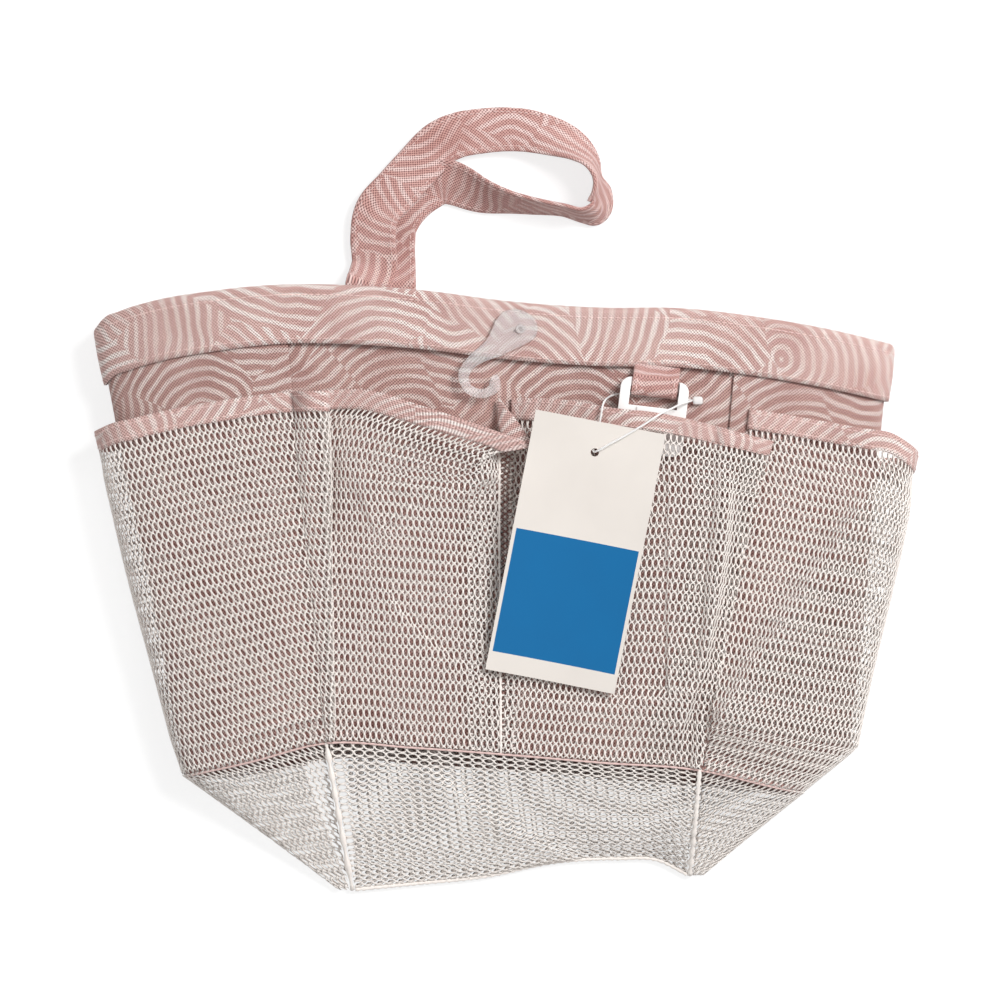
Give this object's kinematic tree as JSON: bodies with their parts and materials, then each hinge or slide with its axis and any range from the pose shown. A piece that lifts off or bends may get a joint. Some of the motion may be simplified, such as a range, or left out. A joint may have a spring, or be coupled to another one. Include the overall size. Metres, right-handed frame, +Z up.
{
  "type": "mesh shower caddy",
  "caption": "Soft shower caddy laid on its back: printed cloth walls, four outer net pockets, a net basin, a cloth handle, a side-release buckle, a clear hook and a plain hang tag.",
  "frame": {"origin": "middle of the bounding box's base, on the floor under the bag", "axes": "+X across the bag from its left side to its right side, +Y from the net basin towards the mouth and the handle, +Z up out of the front wall"},
  "size_m": [0.32, 0.3088, 0.0477],
  "materials": {
    "printed_cloth": null,
    "strap_cloth": null,
    "lining_cloth": null,
    "net": "off-white open knitted net",
    "white_plastic": "moulded, satin",
    "clear_plastic": "clear, moulded",
    "card": "coated card, plain"
  },
  "bodies": {
    "bag": {"rim_band": "printed_cloth", "left_pocket_binding": "printed_cloth", "front_left_pocket_binding": "printed_cloth", "front_right_pocket_binding": "printed_cloth", "right_pocket_binding": "printed_cloth", "strap_root": "strap_cloth", "strap_tail": "strap_cloth", "buckle_tab": "strap_cloth", "front_lining": "lining_cloth", "back_lining": "lining_cloth", "left_lining": "lining_cloth", "right_lining": "lining_cloth", "front_basin_net": "net", "back_basin_net": "net", "bottom_net": "net", "left_basin_net": "net", "right_basin_net": "net", "left_pocket_net": "net", "front_left_pocket_net": "net", "front_right_pocket_net": "net", "right_pocket_net": "net", "hook_pin": "clear_plastic", "tag_filament": "clear_plastic", "filament_head": "clear_plastic"},
    "handle": {"handle_strap": "strap_cloth"},
    "hook": {"hang_hook": "clear_plastic"},
    "socket": {"buckle_socket": "white_plastic"},
    "plug": {"buckle_plug": "white_plastic"},
    "prong_left": {"plug_prong_left": "white_plastic"},
    "prong_right": {"plug_prong_right": "white_plastic"},
    "tag": {"hang_tag": "card"}
  },
  "joints": [
    {"name": "handle_swing", "type": "hinge", "parent": "bag", "child": "handle", "pos_m": [-0.048, 0.08304, 0.01], "axis": [1, 0, 0], "range_deg": [0, 90]},
    {"name": "hook_swivel", "type": "hinge", "parent": "bag", "child": "hook", "pos_m": [0.00666, 0.06548, 0.0323], "axis": [0, 0, 1], "range_deg": [-95, 0]},
    {"name": "socket_tilt", "type": "hinge", "parent": "bag", "child": "socket", "pos_m": [0.05896, 0.0441, 0.03152], "axis": [0.9925, -0.1219, 0], "range_deg": [-4, 2]},
    {"name": "plug_tilt", "type": "hinge", "parent": "bag", "child": "plug", "pos_m": [-0.05293, 0.0655, 0.01132], "axis": [1, 0, 0], "range_deg": [-8, 8]},
    {"name": "prong_left", "type": "hinge", "parent": "plug", "child": "prong_left", "pos_m": [-0.06053, 0.05241, 0.01132], "axis": [0, 0, 1], "range_deg": [0, 6], "stiffness_Nm_per_rad": 0.03},
    {"name": "prong_right", "type": "hinge", "parent": "plug", "child": "prong_right", "pos_m": [-0.04533, 0.05241, 0.01132], "axis": [0, 0, 1], "range_deg": [-6, 0], "stiffness_Nm_per_rad": 0.03},
    {"name": "tag_swing", "type": "hinge", "parent": "bag", "child": "tag", "pos_m": [0.0353, 0.01757, 0.04442], "axis": [-0.0232, -0.1196, 0.9925], "range_deg": [-35, 7]}
  ],
  "couplings": [
    {"joint": "prong_right", "follows": "prong_left", "ratio": -1}
  ]
}
